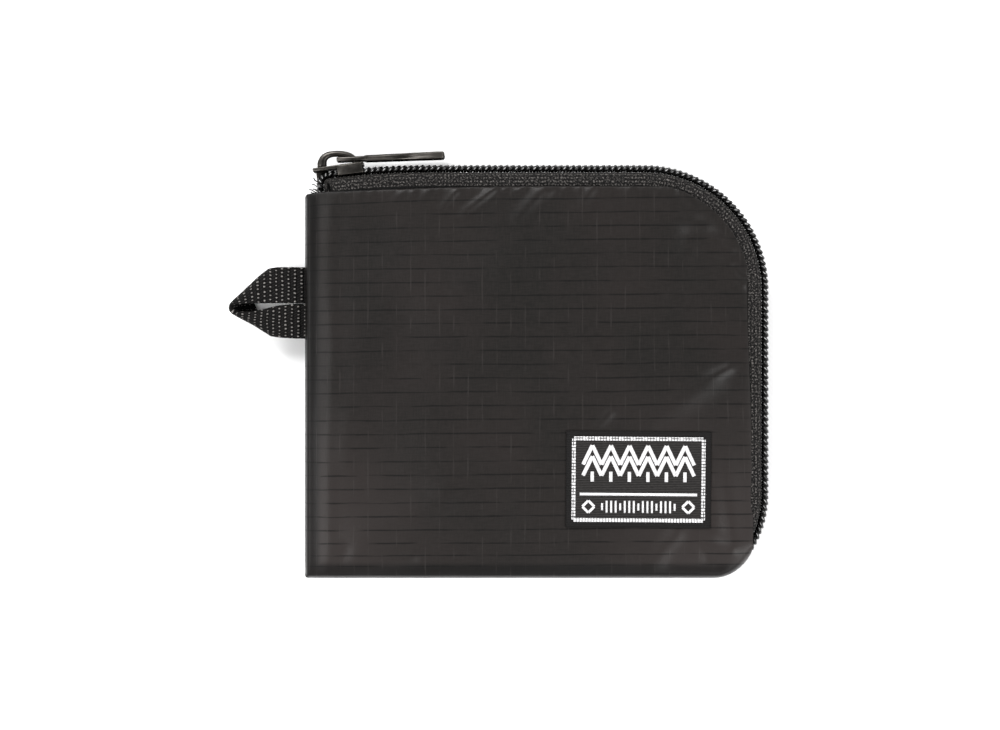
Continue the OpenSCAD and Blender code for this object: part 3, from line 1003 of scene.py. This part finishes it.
# The strap, from its upper end round to its lower one: how far along it is, then four places
# across it from its inner edge to its outer one. Each place is x, how far above the loop's middle
# line, and how far above the pouch's middle. The inner edge makes the tip, and the outer edge
# rolls over and runs underneath.
STRAP = [
    (0.0, (1.2, -0.2, 0.0), (1.2, 2.8, 0.0), (1.2, 5.9, 0.0), (1.2, 8.75, 0.0)),
    (4.5, (-3.3, -0.2, 0.35), (-3.3, 2.8, 0.45), (-3.3, 5.9, 0.4), (-3.3, 8.75, 0.2)),
    (8.6, (-7.4, -0.2, 0.8), (-7.4, 2.8, 1.0), (-7.5, 6.0, 0.9), (-7.35, 8.55, 0.2)),
    (11.6, (-10.4, -0.2, 1.2), (-10.4, 3.0, 1.6), (-10.6, 7.3, 1.7), (-9.9, 7.2, -1.2)),
    (14.7, (-13.5, -0.2, 1.7), (-13.5, 2.4, 2.4), (-14.4, 5.0, 1.6), (-12.2, 4.0, -3.1)),
    (17.6, (-16.4, -0.3, 2.2), (-16.8, 0.9, 2.9), (-17.6, 1.5, 0.4), (-12.9, 1.2, -4.0)),
    (19.5, (-17.9, -0.8, 2.4), (-18.6, -0.3, 2.2), (-17.2, 0.1, -2.4), (-13.3, 0.0, -4.6)),
    (20.7, (-18.2, -1.5, 2.4), (-18.9, -1.5, 2.0), (-17.2, -1.3, -2.6), (-13.0, -0.9, -4.7)),
    (21.9, (-17.7, -2.3, 2.3), (-18.2, -2.6, 2.0), (-16.6, -2.6, -2.4), (-12.5, -1.9, -4.6)),
    (23.8, (-16.2, -2.6, 2.1), (-16.4, -3.3, 2.6), (-16.6, -4.2, 0.4), (-11.8, -3.2, -3.9)),
    (26.8, (-13.2, -2.4, 1.7), (-13.4, -3.8, 2.3), (-13.8, -6.0, 1.4), (-10.9, -5.2, -3.0)),
    (29.9, (-10.1, -1.75, 1.2), (-10.2, -4.0, 1.6), (-10.5, -7.2, 1.5), (-9.3, -7.3, -1.2)),
    (32.9, (-7.1, -0.95, 0.8), (-7.2, -3.7, 1.0), (-7.2, -6.4, 0.9), (-7.1, -8.5, 0.2)),
    (36.9, (-3.1, -0.45, 0.35), (-3.1, -3.4, 0.45), (-3.1, -6.2, 0.4), (-3.1, -8.95, 0.1)),
    (41.2, (1.2, -0.35, 0.0), (1.2, -3.4, 0.0), (1.2, -6.2, 0.0), (1.2, -9.1, 0.0)),
]


def between(before, low, high, after, t):
    """A smooth curve through four places in turn, at a share t of the way from low to high."""
    return ((low * 2 + (high - before) * t + (before * 2 - low * 5 + high * 4 - after) * t * t
             + (low * 3 - before - high * 3 + after) * t ** 3) / 2)


def strap_place(along, across):
    """A place on the loop's strap: how far along it in millimetres, and 0 to 1 across it."""
    i = max(k for k in range(len(STRAP) - 1) if STRAP[k][0] <= along + 1e-6)
    t = (along - STRAP[i][0]) / (STRAP[i + 1][0] - STRAP[i][0])
    picks = [STRAP[min(max(k, 0), len(STRAP) - 1)] for k in (i - 1, i, i + 1, i + 2)]
    a, b, c, d = (between(*(Vector(p[k]) for p in picks), t) for k in (1, 2, 3, 4))
    inner, middle, outer = a.lerp(b, across), b.lerp(c, across), c.lerp(d, across)
    return inner.lerp(middle, across).lerp(middle.lerp(outer, across), across)


def webbing_loop(material):
    """The loop: a strap that comes out of the pouch at the seam."""
    run = STRAP[-1][0]

    def place(u, v):
        point = strap_place(u * run, v)
        return point.x, LOOP_Y + point.y, MIDDLE + point.z

    bm = patch(110, 16, place, lambda u, v: (u * run, v * WEB_W))
    piece = finish_piece("webbing_loop_strap", bm, material, "webbing", "webbing_loop",
                         across=("loop", row(0.4, LOOP_Y, MIDDLE), row(-3.5, LOOP_Y, MIDDLE)))
    return thicken(piece, WEB_T, 1, 0)


# ------------ the label

LABEL_X, LABEL_Y, LABEL_W, LABEL_H = 65.0, 13.0, 36.0, 24.0
LABEL_TURN = math.radians(-0.5)
BORDER_IN = 1.9        # from the label's edge to the middle of its woven frame
LABEL_THICK = 0.34
THREAD_RISE = 0.16     # how far the woven threads stand above the label
SEWING_RISE = 0.24     # and the sewing over them
THREAD_SINK = 0.06     # how deep the threads start below its face


def label_place(x, y, lift=0.0):
    """A place on the label's face, from its lower left corner, lift above it."""
    px = LABEL_X + x * math.cos(LABEL_TURN) - y * math.sin(LABEL_TURN)
    py = LABEL_Y + x * math.sin(LABEL_TURN) + y * math.cos(LABEL_TURN)
    z = MIDDLE + front_rise(px, py) + LABEL_THICK + lift
    z += 0.12 * math.sin(x / 5.2 + 0.5) * ease((4 - y) / 4)
    return px, py, z + fold_height(px, py, FOLDS)


def woven_label(material):
    """The label's black ground."""
    def cloth(u, v):
        return u * LABEL_W, v * LABEL_H

    bm = patch(60, 40, lambda u, v: label_place(*cloth(u, v)), cloth)
    piece = finish_piece("woven_label_cloth", bm, material, "label", "woven_label")
    return thicken(piece, 0.3, 0)


def stitch(bm, start, end, width, rise):
    """A low bar of thread between two places on the label."""
    a, b = Vector((*start, 0)), Vector((*end, 0))
    run = b - a
    made = bmesh.ops.create_cube(bm, size=1)["verts"]
    turn = Matrix.Rotation(math.atan2(run.y, run.x), 3, "Z")
    for v in made:
        top = v.co.z > 0
        local = Vector((v.co.x * (run.length - (0.12 if top else 0)),
                        v.co.y * (width - (0.16 if top else 0)), 0))
        spot = turn @ local + (a + b) / 2
        v.co = label_place(spot.x, spot.y, rise if top else -THREAD_SINK)


def thread_work(name, material, slot, bars, *replaced):
    """Bars of thread on the label, each (start, end, width, height)."""
    bm = bmesh.new()
    for start, end, width, rise in bars:
        stitch(bm, start, end, width, rise)
    bmesh.ops.recalc_face_normals(bm, faces=bm.faces[:])
    lay_cloth(bm, lambda p: (p.x, p.y))
    return finish_piece(name, bm, material, slot, *replaced)


def border_bars():
    """A woven frame: long floats along the top and bottom, short ones up the sides."""
    bars = []
    wide, high = LABEL_W - 2 * BORDER_IN, LABEL_H - 2 * BORDER_IN
    columns, rows = 44, 26
    for i in range(columns):
        x = BORDER_IN + wide * (i + 0.5) / columns
        for y in (BORDER_IN, LABEL_H - BORDER_IN):
            bars.append(((x, y - 0.5), (x, y + 0.5), 0.68, THREAD_RISE))
    for i in range(rows):
        y = BORDER_IN + high * (i + 0.5) / rows
        for x in (BORDER_IN, LABEL_W - BORDER_IN):
            bars.append(((x - 0.5, y), (x + 0.5, y), 0.66, THREAD_RISE))
    return bars


def zigzag(left, right, low, high, peaks, width):
    """The bars of a zigzag between two heights."""
    spots = [(mix(left, right, i / (2 * peaks)), high if i % 2 else low)
             for i in range(2 * peaks + 1)]
    return [(a, b, width, THREAD_RISE) for a, b in zip(spots, spots[1:])]


def motif_bars():
    """The label's plain pattern: two zigzags, short legs, a rule, a row of ticks and a diamond
    at each end of it."""
    left, right, peaks = 4.2, 31.8, 6
    bars = zigzag(left, right, 15.6, 20.4, peaks, 1.0) + zigzag(left, right, 12.9, 17.7, peaks, 1.0)
    for i in range(peaks):
        x = mix(left, right, (i + 0.5) / peaks)
        bars.append(((x, 11.4), (x, 13.9), 0.9, THREAD_RISE))
    bars.append(((3.4, 8.3), (32.6, 8.3), 0.75, THREAD_RISE))
    row_y, ticks = 5.2, 17
    for x in (5.6, 30.4):
        for side in (1, -1):
            tip = (x, row_y + side * 1.5)
            bars.append(((x - 1.5, row_y), tip, 0.7, THREAD_RISE))
            bars.append((tip, (x + 1.5, row_y), 0.7, THREAD_RISE))
    for i in range(ticks):
        x = mix(9.0, 27.0, i / (ticks - 1))
        tall = 1.5 if i % 4 else 0.9
        bars.append(((x, row_y - tall), (x, row_y + tall), 0.55, THREAD_RISE))
    return bars


def sewing_bars():
    """The black running stitch that holds the label, over its woven frame."""
    bars = []
    pitch, long = 3.0, 2.0
    for i in range(11):
        x = BORDER_IN + 1.2 + pitch * i
        for y in (BORDER_IN + 0.62, LABEL_H - BORDER_IN + 0.1):
            bars.append(((x - long / 2, y), (x + long / 2, y), 0.3, SEWING_RISE))
    for i in range(7):
        y = BORDER_IN + 1.2 + pitch * i
        for x in (BORDER_IN - 0.1, LABEL_W - BORDER_IN + 0.1):
            bars.append(((x, y - long / 2), (x, y + long / 2), 0.28, SEWING_RISE))
    return bars


# ------------ studio


def studio():
    """A pale floor, three soft lamps, a bright sky, and the camera overhead."""
    scene = bpy.context.scene
    scene.view_settings.view_transform = "Standard"
    bm = bmesh.new()
    bmesh.ops.create_grid(bm, x_segments=1, y_segments=1, size=2.5)
    mesh = bpy.data.meshes.new("floor")
    bm.to_mesh(mesh)
    bm.free()
    mesh.materials.append(floor_paint())
    floor = bpy.data.objects.new("floor", mesh)
    scene.collection.objects.link(floor)

    world = bpy.data.worlds.new("studio")
    world.use_nodes = True
    tree = world.node_tree
    sky = tree.nodes["Background"]
    sky.inputs["Color"].default_value = (1, 1, 1, 1)
    facing_up = tree.nodes.new("ShaderNodeTexCoord")
    height = tree.nodes.new("ShaderNodeSeparateXYZ")
    fall = tree.nodes.new("ShaderNodeMapRange")
    fall.interpolation_type = "SMOOTHSTEP"
    # full strength up to 0.6 of the way up, and nearly dark overhead
    for socket, value in zip(fall.inputs[1:5], (0.6, 0.96, 1.3, 0.12)):
        socket.default_value = value
    tree.links.new(facing_up.outputs["Generated"], height.inputs[0])
    tree.links.new(height.outputs["Z"], fall.inputs[0])
    tree.links.new(fall.outputs[0], sky.inputs["Strength"])
    scene.world = world
    # each lamp's name, place, size and power
    lamps = [("key", (-0.26, 0.6, 0.6), 0.36, 7.0), ("side", (-0.5, -0.12, 0.72), 0.3, 3.0),
             ("fill", (0.5, -0.42, 0.62), 0.45, 6.5)]
    for name, place, size, power in lamps:
        light = bpy.data.lights.new(name, "AREA")
        light.shape = "SQUARE"
        light.size = size
        light.energy = power
        lamp = bpy.data.objects.new(name, light)
        lamp.location = place
        lamp.rotation_euler = (-Vector(place)).to_track_quat("-Z", "Y").to_euler()
        scene.collection.objects.link(lamp)

    frame_width = 0.25      # how much of the floor the camera sees across, in metres
    camera = bpy.data.objects.new("camera", bpy.data.cameras.new("camera"))
    camera.data.lens = 100.0
    camera.data.clip_end = 20
    distance = frame_width * camera.data.lens / camera.data.sensor_width
    camera.location = (-0.009, 0.00185, MIDDLE * MM + distance)
    scene.collection.objects.link(camera)
    scene.camera = camera


studio()
shell_cloth = ripstop()
lining_cloth = plain_weave("lining_cloth", tone(58, 58, 60), tone(84, 84, 87))
binding_cloth = plain_weave("binding_cloth", tone(26, 26, 26), tone(52, 52, 52), 0.8)
yarn = cord_yarn()
metal = gunmetal()
white = white_thread()

front_shell(shell_cloth)
back_shell(shell_cloth)
inner_sheet("front_lining_cloth", lining_cloth, LINING_Z, 1.4, 5.2, "front_lining", "flap_lining",
            across=FLAP)
inner_sheet("back_lining_cloth", lining_cloth, BACK_LINING_Z, 1.4, 5.2, "back_lining")
inner_sheet("card_pocket_cloth", lining_cloth, BACK_LINING_Z + 0.5, 2.2, 6.0, "card_pocket",
            top=POCKET_CUT)
for make, part, stuff, work in ((tape, "tape", zip_knit(), "knit"),
                                (coil, "coil", coil_nylon(), "wound"), (cord, "cord", yarn, "yarn")):
    for side in ("front", "back"):
        make(f"zip_{part}_{side}_{work}", side == "front", stuff, f"zip_{part}_{side}")
loose_threads(yarn)
slider_body(metal)
slider_bridge(metal)
pull_tab(metal)
webbing_loop(webbing_weave())
woven_label(label_ground())
thread_work("label_frame_threads", white, "label", border_bars())
thread_work("label_motif_threads", white, "label", motif_bars())
thread_work("label_sewing", black_thread(), "thread", sewing_bars(), "label_stitching")
pocket_binding(binding_cloth)
inner_seam_binding(binding_cloth)
